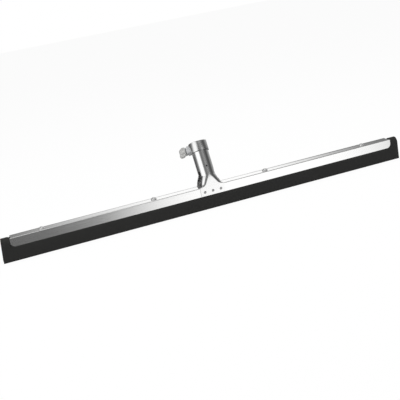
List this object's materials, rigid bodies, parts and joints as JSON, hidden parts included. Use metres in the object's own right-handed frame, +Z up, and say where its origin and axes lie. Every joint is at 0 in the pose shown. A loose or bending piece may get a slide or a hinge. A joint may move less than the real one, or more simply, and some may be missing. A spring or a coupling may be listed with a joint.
{
  "type": "floor squeegee head",
  "caption": "Floor squeegee head: folded rubber blade riveted between bent steel strips, with a leaning split handle socket and a clamp collar with a wing screw.",
  "frame": {"origin": "the middle of the working edge, on the floor, half way between the two lips", "axes": "+X along the blade to the right as seen from the front, +Y to the back, where the socket leans, +Z up from the floor"},
  "size_m": [0.75, 0.0695, 0.1192],
  "materials": {
    "plated_steel": "bright zinc plate",
    "cast_zinc": "matt as-cast zinc alloy",
    "black_rubber": "matt closed-cell moss rubber"
  },
  "bodies": {
    "head": {"front_strip": "plated_steel", "rear_strip": "plated_steel", "rubber_blade": "black_rubber", "handle_socket": "plated_steel", "clamp_collar": "plated_steel", "clamp_nut": "plated_steel", "ledge_rivet_1": "plated_steel", "ledge_rivet_2": "plated_steel", "ledge_rivet_3": "plated_steel", "ledge_rivet_4": "plated_steel", "socket_rivet_1": "plated_steel", "socket_rivet_2": "plated_steel", "socket_rivet_3": "plated_steel"},
    "screw": {"screw_shank": "plated_steel"},
    "wings": {"wing_head": "cast_zinc"}
  },
  "joints": [
    {"name": "screw_feed", "type": "slide", "parent": "head", "child": "screw", "axis": [0.866, -0.4553, 0.2066], "range_m": [-0.00451, 0.00151]},
    {"name": "wing_turn", "type": "hinge", "parent": "screw", "child": "wings", "pos_m": [0, 0.03211, 0.10397], "axis": [0.866, -0.4553, 0.2066], "range_deg": [-1080, 360]}
  ],
  "couplings": [
    {"joint": "screw_feed", "follows": "wing_turn", "m_per_rad": 0.00023873}
  ]
}
